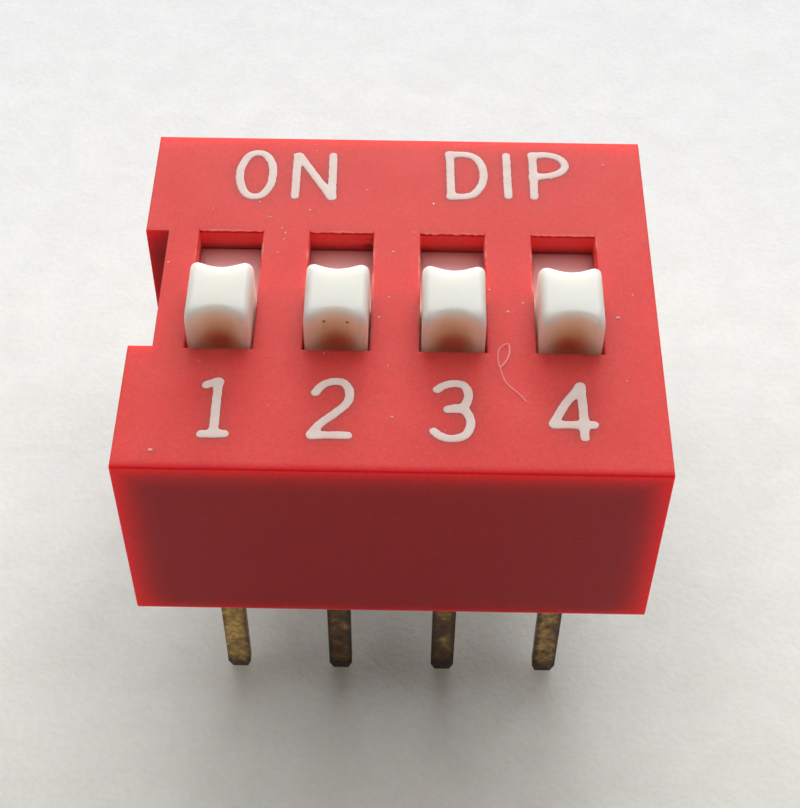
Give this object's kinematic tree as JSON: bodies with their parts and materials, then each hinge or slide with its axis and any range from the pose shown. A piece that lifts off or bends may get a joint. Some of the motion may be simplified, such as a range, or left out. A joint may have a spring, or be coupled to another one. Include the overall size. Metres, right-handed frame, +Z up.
{
  "type": "slide dip switch",
  "caption": "Small through-hole DIP switch: red housing with a row of raised white slide actuators in windows, an index notch, and two rows of solder pins.",
  "frame": {"origin": "on the seating plane (the standoff rails' lower faces), under the middle of the pin pattern", "axes": "+X along the positions from 1 to 4, +Y towards the ON side, +Z up, out of the circuit board"},
  "size_m": [0.0116, 0.01, 0.0107],
  "materials": {
    "cover_plastic": "moulded red thermoplastic, satin",
    "slider_plastic": "moulded white thermoplastic, slightly translucent",
    "base_plastic": "moulded black thermoplastic",
    "sealing_compound": "cured epoxy",
    "contact_gold": "gold-plated spring bronze",
    "terminal_metal": "plated brass, tarnished brown"
  },
  "bodies": {
    "housing": {"cover": "cover_plastic", "base": "base_plastic", "seal_front": "sealing_compound", "seal_rear": "sealing_compound", "terminal_front_1": "terminal_metal", "terminal_front_2": "terminal_metal", "terminal_front_3": "terminal_metal", "terminal_front_4": "terminal_metal", "terminal_rear_1": "terminal_metal", "terminal_rear_2": "terminal_metal", "terminal_rear_3": "terminal_metal", "terminal_rear_4": "terminal_metal"},
    "switch_1": {"slider_1": "slider_plastic", "contact_1": "contact_gold"},
    "switch_2": {"slider_2": "slider_plastic", "contact_2": "contact_gold"},
    "switch_3": {"slider_3": "slider_plastic", "contact_3": "contact_gold"},
    "switch_4": {"slider_4": "slider_plastic", "contact_4": "contact_gold"}
  },
  "joints": [
    {"name": "slider_1_travel", "type": "slide", "parent": "housing", "child": "switch_1", "axis": [0, 1, 0], "range_m": [0, 0.0018]},
    {"name": "slider_2_travel", "type": "slide", "parent": "housing", "child": "switch_2", "axis": [0, 1, 0], "range_m": [0, 0.0018]},
    {"name": "slider_3_travel", "type": "slide", "parent": "housing", "child": "switch_3", "axis": [0, 1, 0], "range_m": [0, 0.0018]},
    {"name": "slider_4_travel", "type": "slide", "parent": "housing", "child": "switch_4", "axis": [0, 1, 0], "range_m": [0, 0.0018]}
  ]
}
